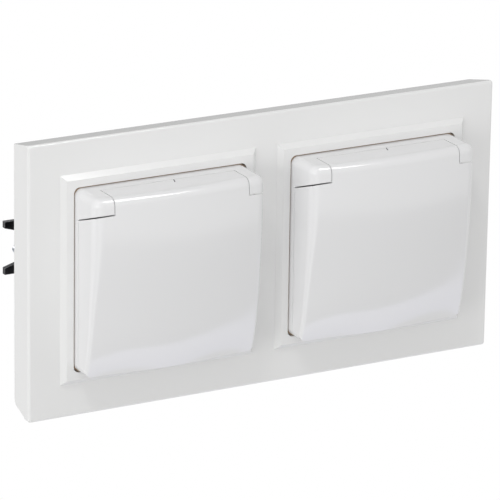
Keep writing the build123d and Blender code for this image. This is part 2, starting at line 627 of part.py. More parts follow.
os.makedirs("parts", exist_ok=True)
export_step(WALL_STANDS_UP * make_frame(), "parts/two_gang_frame.step")
for gang_name, outer_side in (("left", -1), ("right", 1)):
    gang_x = outer_side * GANG_PITCH / 2
    pieces = {
        "cover_base": make_cover_base(),
        "frame_seal": make_frame_seal(),
        "lid": make_lid(),
        "lid_gasket": make_lid_gasket(),
        "hinge_pin": make_hinge_pin(),
        "hinge_spring": make_hinge_spring(),
        "cover_screw": make_cover_screw(),
        "support_plate": make_support_plate(),
        "plate_rivets": make_plate_rivets(),
        "contact_carrier": make_contact_carrier(),
        "live_contact": make_pin_contact(-1),
        "neutral_contact": make_pin_contact(1),
        "earth_bow": make_earth_bow(),
        "terminal_screws": make_terminal_screws(),
        "outer_claw": make_claw(outer_side),
        "inner_claw": make_claw(-outer_side),
        "outer_claw_screw": make_claw_screw(outer_side),
        "inner_claw_screw": make_claw_screw(-outer_side),
    }
    for piece_name, shape in pieces.items():
        export_step(place(gang_x, shape), f"parts/{gang_name}_{piece_name}.step")
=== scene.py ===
# %% [markdown]
# # Double weatherproof wall socket
# One white two-gang frame carries two flush socket inserts under sprung, hinged lids.
# The solids come from the CAD frame, already in place and in metres: X runs to the right,
# the front faces -Y and Z is up. This lesson dresses them: camera, light, finishes, and the
# small parts that are too fine for the solids, such as the spring wire and the screw threads.

# %% Load the frame
import json
import math

import bpy
from mathutils import Matrix, Vector


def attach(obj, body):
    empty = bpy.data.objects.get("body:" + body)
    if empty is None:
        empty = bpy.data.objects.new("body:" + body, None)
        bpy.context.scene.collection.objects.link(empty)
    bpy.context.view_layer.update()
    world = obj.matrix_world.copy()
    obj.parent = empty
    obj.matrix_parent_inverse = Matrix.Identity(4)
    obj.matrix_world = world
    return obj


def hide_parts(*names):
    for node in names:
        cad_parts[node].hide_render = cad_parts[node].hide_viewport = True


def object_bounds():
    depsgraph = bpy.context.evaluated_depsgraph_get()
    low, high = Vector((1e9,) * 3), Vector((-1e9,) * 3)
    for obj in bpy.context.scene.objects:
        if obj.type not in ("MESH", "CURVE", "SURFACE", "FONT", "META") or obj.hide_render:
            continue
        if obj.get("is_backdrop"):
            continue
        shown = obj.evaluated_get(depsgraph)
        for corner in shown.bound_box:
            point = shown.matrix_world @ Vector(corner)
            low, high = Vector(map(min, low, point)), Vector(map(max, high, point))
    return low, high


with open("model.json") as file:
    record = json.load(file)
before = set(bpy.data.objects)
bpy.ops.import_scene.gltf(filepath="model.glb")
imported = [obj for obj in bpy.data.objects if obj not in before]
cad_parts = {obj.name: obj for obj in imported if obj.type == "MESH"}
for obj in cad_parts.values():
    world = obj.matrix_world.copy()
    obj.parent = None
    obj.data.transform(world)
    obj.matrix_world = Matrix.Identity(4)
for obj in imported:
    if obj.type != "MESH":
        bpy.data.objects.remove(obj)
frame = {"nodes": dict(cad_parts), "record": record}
CAD_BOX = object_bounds()
NODES = frame["nodes"]
SLOT_OF = {part["node"]: part["material_slot"] for part in frame["record"]["subparts"]}
MM = 0.001

# %% [markdown]
# ## The camera
# The picture was taken with a very long lens from the left and above, so the upright edges
# stay upright and the frame's long edges run almost parallel. The camera was solved from the
# frame's corners. Its three axes are written down as they were found, because a target point
# and an up direction would round them.

# %% Camera
CAMERA_PLACE = Vector((-0.60927, -1.10612, 0.41465))
CAMERA_RIGHT = Vector((0.877627, -0.479127, 0.014439))
CAMERA_DOWN = Vector((-0.138682, -0.282629, -0.949151))
CAMERA_AHEAD = Vector((0.458845, 0.830998, -0.314489))
SENSOR_WIDTH = 36.0
LENS = 322.085
CLIP_START = 0.01

camera_data = bpy.data.cameras.new("photo_camera")
camera_data.sensor_width = SENSOR_WIDTH
camera_data.lens = LENS
camera_data.clip_start = CLIP_START
camera = bpy.data.objects.new("photo_camera", camera_data)
turn = Matrix((CAMERA_RIGHT, -CAMERA_DOWN, -CAMERA_AHEAD)).transposed()
camera.matrix_world = Matrix.Translation(CAMERA_PLACE) @ turn.to_4x4()
bpy.context.scene.collection.objects.link(camera)
bpy.context.scene.camera = camera
bpy.context.scene.view_settings.view_transform = "Standard"
print("camera at", tuple(round(c, 3) for c in CAMERA_PLACE), "lens", LENS)

# %% [markdown]
# ## Studio light
# A white object on a white page is drawn by its shades alone. The world gives an even soft
# fill, so that every hollow darkens by itself. Two softboxes on the left light the left sides
# and leave the strips to the right of the lids a little darker. One in front and one on the right
# open the shadows between the lids. The last one is for gloss: it hangs where the round top edges
# of the lids mirror it to the camera, and adds no other light. The page is white to camera and
# mirror rays alone, so it adds no light to the object either.

# %% White page
WORLD_FILL = 0.63
PAGE_WHITE = (1.0, 1.0, 1.0, 1.0)


def seen_directly(tree):
    """A factor of 1 for camera, mirror and glass rays, and 0 for the light on the object."""
    rays = tree.nodes.new("ShaderNodeLightPath")
    factor = rays.outputs["Is Camera Ray"]
    for name in ("Is Glossy Ray", "Is Transmission Ray"):
        larger = tree.nodes.new("ShaderNodeMath")
        larger.operation = "MAXIMUM"
        tree.links.new(factor, larger.inputs[0])
        tree.links.new(rays.outputs[name], larger.inputs[1])
        factor = larger.outputs[0]
    return factor


def make_world():
    """An even fill that camera and mirror rays see as a white page."""
    world = bpy.data.worlds.new("white_page")
    world.use_nodes = True
    tree = world.node_tree
    tree.nodes.clear()
    fill = tree.nodes.new("ShaderNodeBackground")
    fill.inputs["Strength"].default_value = WORLD_FILL
    fill.inputs["Color"].default_value = PAGE_WHITE
    page = tree.nodes.new("ShaderNodeBackground")
    page.inputs["Strength"].default_value = 1.0
    page.inputs["Color"].default_value = PAGE_WHITE
    mix = tree.nodes.new("ShaderNodeMixShader")
    out = tree.nodes.new("ShaderNodeOutputWorld")
    tree.links.new(seen_directly(tree), mix.inputs[0])
    tree.links.new(fill.outputs[0], mix.inputs[1])
    tree.links.new(page.outputs[0], mix.inputs[2])
    tree.links.new(mix.outputs[0], out.inputs["Surface"])
    return world


bpy.context.scene.world = make_world()
print("world fill", WORLD_FILL)

# %% Softboxes
OBJECT_CENTRE = Vector((0.0, -0.01, 0.0))
SOFTBOX_DISTANCE = 1.1
SOFTBOX_SIZE = 0.5
FILLER_ELEVATION = 5.0


def direction(azimuth, elevation):
    """A unit direction: azimuth in degrees from straight in front of the wall, to the right."""
    swing = math.radians(azimuth)
    rise = math.radians(elevation)
    flat = math.cos(rise)
    return Vector((math.sin(swing) * flat, -math.cos(swing) * flat, math.sin(rise)))


def add_softbox(name, azimuth, elevation, power, size=SOFTBOX_SIZE):
    """A square area lamp that points at the object."""
    lamp = bpy.data.lights.new(name, "AREA")
    lamp.shape = "SQUARE"
    lamp.size = size
    lamp.energy = power
    place = OBJECT_CENTRE + direction(azimuth, elevation) * SOFTBOX_DISTANCE
    aim = (OBJECT_CENTRE - place).to_track_quat("-Z", "Y")
    obj = bpy.data.objects.new(name, lamp)
    obj.matrix_world = Matrix.Translation(place) @ aim.to_matrix().to_4x4()
    bpy.context.scene.collection.objects.link(obj)
    return obj


add_softbox("side_softbox", azimuth=-62.0, elevation=4.0, power=2.6)
add_softbox("upper_softbox", azimuth=-45.0, elevation=55.0, power=1.6, size=0.2)
for name, azimuth, power in (("front_softbox", -28.0, 0.8), ("right_softbox", 55.0, 0.5)):
    filler = add_softbox(name, azimuth=azimuth, elevation=FILLER_ELEVATION, power=power)
    filler.visible_glossy = False
gloss_strip = add_softbox("gloss_strip", azimuth=31.0, elevation=60.0, power=4.4, size=0.34)
gloss_strip.visible_diffuse = False

# %% [markdown]
# ## Page, flags and cards
# The floor is the same white page, well below the wall fitting. Glossy plastic shows what
# stands around it. The curved lids mirror a dark band that the flat frame misses, and a pale
# bluish card under it, whose slanted border crosses the lower right of each lid. The frame's
# top edge mirrors a dark flag behind it, which keeps it apart from the white page, and a flag on
# the left keeps the left bevels from shining. Mirror rays alone see these sheets.

# %% Floor and reflected cards
FLOOR_HEIGHT = -1.6
FLOOR_HALF = 6.0
CARD_DISTANCE = 0.8
FLOOR_PALE = (0.85, 0.85, 0.85, 1.0)
BLACK_FLAG = (0.05, 0.05, 0.05)
DARK_FLAG = (0.10, 0.10, 0.10)
GREY_FLAG = (0.35, 0.35, 0.35)
PALE_BLUE = (1.40, 1.40, 1.80)


def page_material():
    """Pale to the light, and white to camera and mirror rays."""
    material = bpy.data.materials.new("page")
    material.use_nodes = True
    tree = material.node_tree
    tree.nodes.clear()
    pale = tree.nodes.new("ShaderNodeBsdfDiffuse")
    pale.inputs["Color"].default_value = FLOOR_PALE
    white = tree.nodes.new("ShaderNodeEmission")
    mix = tree.nodes.new("ShaderNodeMixShader")
    out = tree.nodes.new("ShaderNodeOutputMaterial")
    tree.links.new(seen_directly(tree), mix.inputs[0])
    tree.links.new(pale.outputs[0], mix.inputs[1])
    tree.links.new(white.outputs[0], mix.inputs[2])
    tree.links.new(mix.outputs[0], out.inputs["Surface"])
    return material


def card_material(name, color):
    """A card of one even tone, whatever light falls on it."""
    material = bpy.data.materials.new(name)
    material.use_nodes = True
    tree = material.node_tree
    tree.nodes.clear()
    glow = tree.nodes.new("ShaderNodeEmission")
    glow.inputs["Color"].default_value = (*color, 1.0)
    out = tree.nodes.new("ShaderNodeOutputMaterial")
    tree.links.new(glow.outputs[0], out.inputs["Surface"])
    return material


def flat_sheet(name, corners, material):
    """A flat sheet of the studio, which isn't a part of the object."""
    mesh = bpy.data.meshes.new(name)
    mesh.from_pydata(corners, [], [tuple(range(len(corners)))])
    mesh.materials.append(material)
    obj = bpy.data.objects.new(name, mesh)
    bpy.context.scene.collection.objects.link(obj)
    obj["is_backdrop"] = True
    return obj


def reflected_card(name, corners, color, distance=CARD_DISTANCE):
    """A card given by the directions of its corners, seen by mirror rays only."""
    places = [OBJECT_CENTRE + direction(azimuth, elevation) * distance for azimuth, elevation in corners]
    card = flat_sheet(name, places, card_material(name, color))
    card.visible_camera = False
    card.visible_diffuse = False
    card.visible_shadow = False
    return card


SQUARE = ((-1, -1), (1, -1), (1, 1), (-1, 1))
floor_corners = [(x * FLOOR_HALF, y * FLOOR_HALF, FLOOR_HEIGHT) for x, y in SQUARE]
flat_sheet("floor", floor_corners, page_material())
reflected_card("dark_flag", ((-12, -16.5), (66, -16.5), (66, -21), (-12, -46)), DARK_FLAG)
reflected_card("blue_card", ((66, -21), (66, -62), (-12, -62), (-12, -46)), PALE_BLUE)
reflected_card("left_flag", ((-78, -4), (-46, -4), (-46, -40), (-78, -40)), BLACK_FLAG)
reflected_card("rear_flag", ((130, -1), (175, -1), (175, -14), (130, -14)), GREY_FLAG)
print("floor at", FLOOR_HEIGHT, "and four cards at", CARD_DISTANCE)

# %% [markdown]
# ## Shared surface effects
# Three effects come back in several finishes, so each is a shader group. Mould grain is what a
# tool leaves on plastic, rubber and cast skins. Soft edge rounds the shading of sharp CAD edges
# by a few tenths of a millimetre, as on every moulding and every pressed sheet. Edge wear and glint
# finds the same edges as a mask, for steel that has been handled and for painted glints on edges.

# %% Effect groups
GRAIN_SCALE = 900.0
GRAIN_DETAIL = 2.0
WAVE_SCALE = 55.0
WEAR_GLINT_SCALE = 1200.0
EDGE_RADIUS = 0.3 * MM
EDGE_SAMPLES = 6


def new_group(name, inputs, outputs):
    """An empty shader group with float inputs and the given outputs."""
    group = bpy.data.node_groups.new(name, "ShaderNodeTree")
    for label, value in inputs.items():
        socket = group.interface.new_socket(label, in_out="INPUT", socket_type="NodeSocketFloat")
        socket.default_value = value
    for label, kind in outputs.items():
        group.interface.new_socket(label, in_out="OUTPUT", socket_type=kind)
    return group, group.nodes.new("NodeGroupInput"), group.nodes.new("NodeGroupOutput")


def math_node(tree, operation, *values):
    """A Math node whose inputs are sockets or plain numbers."""
    node = tree.nodes.new("ShaderNodeMath")
    node.operation = operation
    for slot, value in zip(node.inputs, values):
        if isinstance(value, (int, float)):
            slot.default_value = value
        else:
            tree.links.new(value, slot)
    return node.outputs[0]


def make_mould_grain():
    """Fine grain and a slow waviness: a height for Bump, and a roughness that varies a little."""
    group, entry, leave = new_group(
        "mould_grain",
        {"Scale": GRAIN_SCALE, "Roughness": 0.3, "Spread": 0.05, "Wave": 0.0},
        {"Height": "NodeSocketFloat", "Roughness": "NodeSocketFloat"},
    )
    place = group.nodes.new("ShaderNodeTexCoord").outputs["Object"]
    grain = group.nodes.new("ShaderNodeTexNoise")
    grain.inputs["Detail"].default_value = GRAIN_DETAIL
    wave = group.nodes.new("ShaderNodeTexNoise")
    wave.inputs["Scale"].default_value = WAVE_SCALE
    wave.inputs["Detail"].default_value = 0.0
    group.links.new(place, grain.inputs["Vector"])
    group.links.new(entry.outputs["Scale"], grain.inputs["Scale"])
    group.links.new(place, wave.inputs["Vector"])
    slow = math_node(group, "MULTIPLY", wave.outputs["Fac"], entry.outputs["Wave"])
    group.links.new(math_node(group, "ADD", grain.outputs["Fac"], slow), leave.inputs["Height"])
    centred = math_node(group, "SUBTRACT", grain.outputs["Fac"], 0.5)
    spread = math_node(group, "MULTIPLY", centred, entry.outputs["Spread"])
    group.links.new(math_node(group, "ADD", spread, entry.outputs["Roughness"]), leave.inputs["Roughness"])
    return group


def make_soft_edge():
    """The surface normal, rounded over sharp edges by a radius."""
    group, entry, leave = new_group("soft_edge", {"Radius": EDGE_RADIUS}, {"Normal": "NodeSocketVector"})
    rounding = group.nodes.new("ShaderNodeBevel")
    rounding.samples = EDGE_SAMPLES
    group.links.new(entry.outputs["Radius"], rounding.inputs["Radius"])
    group.links.new(rounding.outputs["Normal"], leave.inputs["Normal"])
    return group


def make_edge_wear_and_glint():
    """A mask that is 1 on sharp edges, broken up by noise."""
    group, entry, leave = new_group(
        "edge_wear_and_glint", {"Radius": EDGE_RADIUS, "Amount": 1.0}, {"Mask": "NodeSocketFloat"})
    rounding = group.nodes.new("ShaderNodeBevel")
    rounding.samples = EDGE_SAMPLES
    group.links.new(entry.outputs["Radius"], rounding.inputs["Radius"])
    plain = group.nodes.new("ShaderNodeNewGeometry").outputs["Normal"]
    likeness = group.nodes.new("ShaderNodeVectorMath")
    likeness.operation = "DOT_PRODUCT"
    group.links.new(rounding.outputs["Normal"], likeness.inputs[0])
    group.links.new(plain, likeness.inputs[1])
    bend = math_node(group, "SUBTRACT", 1.0, likeness.outputs["Value"])
    patches = group.nodes.new("ShaderNodeTexNoise")
    patches.inputs["Scale"].default_value = WEAR_GLINT_SCALE
    place = group.nodes.new("ShaderNodeTexCoord").outputs["Object"]
    group.links.new(place, patches.inputs["Vector"])
    broken = math_node(group, "MULTIPLY", bend, patches.outputs["Fac"])
    strength = math_node(group, "MULTIPLY", broken, entry.outputs["Amount"])
    group.links.new(math_node(group, "MINIMUM", strength, 1.0), leave.inputs["Mask"])
    return group


GRAIN = make_mould_grain()
SOFT_EDGE = make_soft_edge()
EDGE_WEAR_AND_GLINT = make_edge_wear_and_glint()
print("groups:", GRAIN.name, SOFT_EDGE.name, EDGE_WEAR_AND_GLINT.name)

# %% [markdown]
# ## White plastic
# Frame, inserts and lids are one glossy white thermoplastic. A real moulding isn't a perfect
# mirror: its skin is slightly wavy and very finely grained, and it has no sharp edge anywhere.
# Inserts and lids are painted a little greyer and cooler than the frame: a painted shade for the
# light that falls less on them. Each colour stays one plain white, because a fresh moulding has no stains.

# %% Plastic finishes
RELIEF_DEPTH = 0.02 * MM
WHITE_EDGE = 0.06 * MM
FRAME_WHITE = (0.88, 0.88, 0.875)
# Painted shade: the inserts and lids are a little greyer and cooler than the frame.
INSERT_WHITE_PAINTED_SHADE = (0.865, 0.865, 0.87)
SEAL_BROWN = (0.40, 0.29, 0.20)
CARRIER_BLACK = (0.028, 0.028, 0.030)


def add_group(tree, group, **values):
    """Places a shared effect in a material, with its own values."""
    node = tree.nodes.new("ShaderNodeGroup")
    node.node_tree = group
    for label, value in values.items():
        node.inputs[label].default_value = value
    return node


def moulded(name, color, scale, roughness, spread, bump, wave=0.0, edge=EDGE_RADIUS):
    """A moulded finish: one colour, with grain in its roughness and its surface."""
    material = bpy.data.materials.new(name)
    material.use_nodes = True
    tree = material.node_tree
    shader = tree.nodes["Principled BSDF"]
    shader.inputs["Base Color"].default_value = (*color, 1.0)
    grain = add_group(tree, GRAIN, Scale=scale, Roughness=roughness, Spread=spread, Wave=wave)
    rounded = add_group(tree, SOFT_EDGE, Radius=edge)
    relief = tree.nodes.new("ShaderNodeBump")
    relief.inputs["Strength"].default_value = bump
    relief.inputs["Distance"].default_value = RELIEF_DEPTH
    tree.links.new(grain.outputs["Height"], relief.inputs["Height"])
    tree.links.new(rounded.outputs["Normal"], relief.inputs["Normal"])
    tree.links.new(grain.outputs["Roughness"], shader.inputs["Roughness"])
    tree.links.new(relief.outputs["Normal"], shader.inputs["Normal"])
    return material


def white_plastic(name, color):
    """Glossy white thermoplastic with a faint waviness."""
    return moulded(
        name, color, scale=GRAIN_SCALE, roughness=0.12, spread=0.03, bump=0.05, wave=3.0, edge=WHITE_EDGE)


INSERT_PLASTIC_PAINTED_SHADE = white_plastic("insert_plastic_painted_shade", INSERT_WHITE_PAINTED_SHADE)
FINISHES = {
    "white_plastic": white_plastic("frame_plastic", FRAME_WHITE),
    "grey_rubber": moulded(
        "grey_rubber", SEAL_BROWN, scale=2500.0, roughness=0.75, spread=0.20, bump=0.40),
    "black_insulator": moulded(
        "black_insulator", CARRIER_BLACK, scale=1600.0, roughness=0.48, spread=0.20, bump=0.30),
}
print("moulded finishes:", sorted(FINISHES))

# %% [markdown]
# ## Metals
# Behind the covers everything is steel or brass. Drawn wire and turned screws have fine streaks
# along their length. Zinc on the support plate freezes in pale flakes. The claws are black from
# an oil bath, with edges painted bright: rubbed steel and painted glints. Brass darkens in soft
# patches. All are one recipe: two tones, a pattern that mixes them, and bright edges for wear and glint.

# %% Metal finishes
BARE_STEEL_GLINT = (0.36, 0.36, 0.38)
PATCH_LOW = 0.35
PATCH_HIGH = 0.65
WEAR_GLINT_RADIUS = 0.25 * MM
METAL_EDGE = 0.15 * MM
ALONG_THE_PIN = (1.0, 40.0, 40.0)


def pattern_mask(tree, kind, scale, stretch):
    """A 0 to 1 pattern over the surface: soft patches, or the flat flakes of frozen zinc."""
    place = tree.nodes.new("ShaderNodeTexCoord").outputs["Object"]
    along = tree.nodes.new("ShaderNodeMapping")
    along.inputs["Scale"].default_value = stretch
    tree.links.new(place, along.inputs["Vector"])
    texture = tree.nodes.new("ShaderNodeTexVoronoi" if kind == "flakes" else "ShaderNodeTexNoise")
    texture.inputs["Scale"].default_value = scale
    tree.links.new(along.outputs["Vector"], texture.inputs["Vector"])
    if kind == "flakes":
        grey = tree.nodes.new("ShaderNodeRGBToBW")
        tree.links.new(texture.outputs["Color"], grey.inputs["Color"])
        return grey.outputs["Val"]
    contrast = tree.nodes.new("ShaderNodeMapRange")
    contrast.inputs["From Min"].default_value = PATCH_LOW
    contrast.inputs["From Max"].default_value = PATCH_HIGH
    tree.links.new(texture.outputs["Fac"], contrast.inputs["Value"])
    return contrast.outputs["Result"]


def metal(name, tones, roughness, kind, scale, stretch=(1, 1, 1), metallic=1.0, wear_and_glint=0.0):
    """Two tones and two roughnesses mixed by a pattern, and edges turned bare metal: wear and painted
    glints.
    """
    material = bpy.data.materials.new(name)
    material.use_nodes = True
    tree = material.node_tree
    shader = tree.nodes["Principled BSDF"]
    shader.inputs["Metallic"].default_value = metallic
    mask = pattern_mask(tree, kind, scale, stretch)
    blend = tree.nodes.new("ShaderNodeMix")
    blend.data_type = "RGBA"
    blend.inputs["A"].default_value = (*tones[0], 1.0)
    blend.inputs["B"].default_value = (*tones[1], 1.0)
    tree.links.new(mask, blend.inputs["Factor"])
    worn_and_glint = tree.nodes.new("ShaderNodeMix")
    worn_and_glint.data_type = "RGBA"
    worn_and_glint.inputs["B"].default_value = (*BARE_STEEL_GLINT, 1.0)
    edges = add_group(tree, EDGE_WEAR_AND_GLINT, Radius=WEAR_GLINT_RADIUS, Amount=wear_and_glint)
    tree.links.new(edges.outputs["Mask"], worn_and_glint.inputs["Factor"])
    tree.links.new(blend.outputs["Result"], worn_and_glint.inputs["A"])
    tree.links.new(worn_and_glint.outputs["Result"], shader.inputs["Base Color"])
    dull = tree.nodes.new("ShaderNodeMapRange")
    dull.inputs["To Min"].default_value = roughness[0]
    dull.inputs["To Max"].default_value = roughness[1]
    tree.links.new(mask, dull.inputs["Value"])
    tree.links.new(dull.outputs["Result"], shader.inputs["Roughness"])
    rounded = add_group(tree, SOFT_EDGE, Radius=METAL_EDGE)
    tree.links.new(rounded.outputs["Normal"], shader.inputs["Normal"])
    return material


FINISHES["pin_steel"] = metal(
    "pin_steel", tones=((0.56, 0.56, 0.56), (0.66, 0.66, 0.65)), roughness=(0.20, 0.36),
    kind="patches", scale=90.0, stretch=ALONG_THE_PIN)
FINISHES["zinc_steel"] = metal(
    "zinc_steel", tones=((0.52, 0.56, 0.62), (0.66, 0.69, 0.73)), roughness=(0.22, 0.38),
    kind="patches", scale=350.0)
FINISHES["plate_steel"] = metal(
    "plate_steel", tones=((0.50, 0.52, 0.55), (0.66, 0.67, 0.69)), roughness=(0.28, 0.46),
    kind="flakes", scale=320.0)
# The claws' bright edges are rubbed steel and painted glints.
FINISHES["claw_steel"] = metal(
    "claw_steel", tones=((0.016, 0.016, 0.018), (0.040, 0.041, 0.046)), roughness=(0.34, 0.56),
    kind="patches", scale=500.0, metallic=0.6, wear_and_glint=5.0)
FINISHES["contact_brass"] = metal(
    "contact_brass", tones=((0.74, 0.56, 0.25), (0.60, 0.42, 0.18)), roughness=(0.22, 0.42),
    kind="patches", scale=260.0)
print("finishes:", sorted(FINISHES))

# %% Dress the CAD nodes
INSERT_PIECES = ("_lid", "_cover_base")
for node_name, node in NODES.items():
    node.data.materials.clear()
    # Inserts and lids take the greyer white with its painted shade.
    finish = INSERT_PLASTIC_PAINTED_SHADE if node_name.endswith(INSERT_PIECES) else FINISHES[SLOT_OF[node_name]]
    node.data.materials.append(finish)
print("dressed", len(NODES), "nodes")

# %% [markdown]
# ## Geometry Nodes helpers
# Springs, threads and seals each follow a line by a rule, so nodes build them. Each tree has named
# inputs, which are set by their identifiers, and its result becomes one plain mesh. The modifier is
# gone before the piece is handed to the frame.

# %% Node helpers
GANG_PITCH = 71.0
GANGS = {"left": -1, "right": 1}
ORIGIN = (0.0, 0.0, 0.0)
OUT_OF_WALL = (math.radians(90), 0.0, 0.0)
HELIX_POINTS = 20


def new_tree(name, **inputs):
    """A geometry tree with float and vector inputs in millimetres, and its material."""
    tree = bpy.data.node_groups.new(name, "GeometryNodeTree")
    for label, value in inputs.items():
        kind = "NodeSocketVector" if isinstance(value, tuple) else "NodeSocketFloat"
        socket = tree.interface.new_socket(label, in_out="INPUT", socket_type=kind)
        socket.default_value = value
    tree.interface.new_socket("Material", in_out="INPUT", socket_type="NodeSocketMaterial")
    tree.interface.new_socket("Geometry", in_out="OUTPUT", socket_type="NodeSocketGeometry")
    return tree, tree.nodes.new("NodeGroupInput").outputs


def add_node(tree, kind, inputs=None, **settings):
    """A node whose inputs are sockets or plain values."""
    node = tree.nodes.new(kind)
    for label, value in settings.items():
        setattr(node, label, value)
    for label, value in (inputs or {}).items():
        if isinstance(value, bpy.types.NodeSocket):
            tree.links.new(value, node.inputs[label])
        else:
            node.inputs[label].default_value = value
    return node


def join(tree, *geometry):
    """Joins the geometry of several nodes."""
    node = tree.nodes.new("GeometryNodeJoinGeometry")
    for socket in reversed(geometry):
        tree.links.new(socket, node.inputs["Geometry"])
    return node.outputs["Geometry"]


def finish_tree(tree, geometry, entry):
    """Ends a tree: its instances made real, in metres, with the material set."""
    smaller = add_node(tree, "GeometryNodeTransform", {"Geometry": geometry, "Scale": (MM, MM, MM)})
    real = add_node(tree, "GeometryNodeRealizeInstances", {"Geometry": smaller.outputs["Geometry"]})
    dressed = add_node(tree, "GeometryNodeSetMaterial", {
        "Geometry": real.outputs["Geometry"], "Material": entry["Material"]})
    leave = tree.nodes.new("NodeGroupOutput")
    tree.links.new(dressed.outputs["Geometry"], leave.inputs["Geometry"])


def build_piece(name, tree, slot, **values):
    """Runs a tree with its inputs set and keeps the result as one plain mesh."""
    carrier = bpy.data.objects.new(name + "_nodes", bpy.data.meshes.new(name + "_nodes"))
    bpy.context.scene.collection.objects.link(carrier)
    modifier = carrier.modifiers.new("build", "NODES")
    modifier.node_group = tree
    identifiers = {
        item.name: item.identifier for item in tree.interface.items_tree if item.in_out == "INPUT"}
    for label, value in values.items():
        modifier[identifiers[label]] = value
    modifier[identifiers["Material"]] = FINISHES[slot]
    graph = bpy.context.evaluated_depsgraph_get()
    mesh = bpy.data.meshes.new_from_object(carrier.evaluated_get(graph))
    bpy.data.objects.remove(carrier)
    mesh.name = name
    mesh.materials.clear()
    mesh.materials.append(FINISHES[slot])
    piece = bpy.data.objects.new(name, mesh)
    bpy.context.scene.collection.objects.link(piece)
    return piece


print("gang pitch", GANG_PITCH)

# %% [markdown]
# ## Closing springs
# Each lid is pushed shut by a close-wound steel spring around its hinge pin. The solid shows it as
# a ridged tube. Here the wire is a real helix, with one leg down the inside of the lid and the
# other back onto the bridge. The coil has the solid's radius, so that it fits in the same pocket.

# %% Spring wire
HINGE_HEIGHT = 25.4
HINGE_FRONT = 24.0
COIL_RADIUS = 1.3
WIRE_RADIUS = 0.25
COIL_TURNS = 24.0
COIL_LENGTH = 12.0
LEG_X = COIL_LENGTH / 2 - WIRE_RADIUS
LID_LEG = 6.0
BRIDGE_LEG = 6.6
WIRE_SIDES = 8
ALONG_X = (0.0, math.radians(90), 0.0)


def make_spring_tree():
    """A helix along X with its two straight legs, swept by a round wire."""
    tree, entry = new_tree(
        "closing_spring", Radius=COIL_RADIUS, Wire=WIRE_RADIUS, Turns=COIL_TURNS, Length=COIL_LENGTH,
        Place=ORIGIN)
    helix = add_node(tree, "GeometryNodeCurveSpiral", {
        "Resolution": HELIX_POINTS, "Rotations": entry["Turns"], "Start Radius": entry["Radius"],
        "End Radius": entry["Radius"], "Height": entry["Length"]})
    along_x = add_node(tree, "GeometryNodeTransform", {
        "Geometry": helix.outputs["Curve"], "Rotation": ALONG_X,
        "Translation": (-COIL_LENGTH / 2, 0.0, 0.0)})
    lid_leg = add_node(tree, "GeometryNodeCurvePrimitiveLine", {
        "Start": (-LEG_X, COIL_RADIUS, 0.0), "End": (-LEG_X, COIL_RADIUS, -LID_LEG)})
    bridge_leg = add_node(tree, "GeometryNodeCurvePrimitiveLine", {
        "Start": (LEG_X, 0.0, -COIL_RADIUS), "End": (LEG_X, BRIDGE_LEG, -COIL_RADIUS)})
    paths = join(
        tree, along_x.outputs["Geometry"], lid_leg.outputs["Curve"], bridge_leg.outputs["Curve"])
    round_wire = add_node(tree, "GeometryNodeCurvePrimitiveCircle", {
        "Resolution": WIRE_SIDES, "Radius": entry["Wire"]})
    wire = add_node(tree, "GeometryNodeCurveToMesh", {
        "Curve": paths, "Profile Curve": round_wire.outputs["Curve"], "Fill Caps": True})
    smooth = add_node(tree, "GeometryNodeSetShadeSmooth", {"Geometry": wire.outputs["Mesh"]})
    placed = add_node(tree, "GeometryNodeTransform", {
        "Geometry": smooth.outputs["Geometry"], "Translation": entry["Place"]})
    finish_tree(tree, placed.outputs["Geometry"], entry)
    return tree


SPRING_TREE = make_spring_tree()
for gang, side in GANGS.items():
    centre = (side * GANG_PITCH / 2, -HINGE_FRONT, HINGE_HEIGHT)
    spring = build_piece(f"{gang}_spring_wire", SPRING_TREE, "pin_steel", Place=centre)
    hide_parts(f"{gang}_hinge_spring")
    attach(spring, f"{gang}_lid_body")
    print(spring.name, "faces", len(spring.data.polygons))

# %% [markdown]
# ## Claw screws
# Four long screws draw the spreading claws forward, and each claw rides its thread: 0.7 mm per
# turn, as in the record. The thread is a diamond wire wound on the core, so its crest stands at
# the solid's shank radius and its root on the core. The head keeps the solid's chamfer and slot.

# %% Threaded screws
CLAW_SCREW_X = 29.6
PLATE_THICKNESS = 1.0
HEAD_RADIUS = 3.0
HEAD_HEIGHT = 2.0
HEAD_CHAMFER = 0.8
SLOT_WIDTH = 0.8
SLOT_DEPTH = 0.9
SHANK_RADIUS = 1.6
SHANK_END = 22.0
THREAD_PITCH = 0.7
THREAD_START = 0.4
THREAD_LENGTH = 21.0
SLOT_LENGTH = HEAD_RADIUS * 3
CUT_HEIGHT = 4.0
ROUND_SIDES = 48
DIAMOND_SIDES = 4
CORE_RADIUS = SHANK_RADIUS - THREAD_PITCH / 2
POINT_TAPER = 0.7
POINT_STEP = 0.02
POINT_SINK = 0.1


def cylinder(tree, radius, length, bottom, top_radius=None):
    """A round solid along Z from a height up, straight or tapered to its top radius."""
    cone = add_node(tree, "GeometryNodeMeshCone", {
        "Vertices": ROUND_SIDES, "Radius Top": radius if top_radius is None else top_radius,
        "Radius Bottom": radius, "Depth": length})
    lifted = add_node(tree, "GeometryNodeTransform", {
        "Geometry": cone.outputs["Mesh"], "Translation": (0.0, 0.0, bottom)})
    return lifted.outputs["Geometry"]


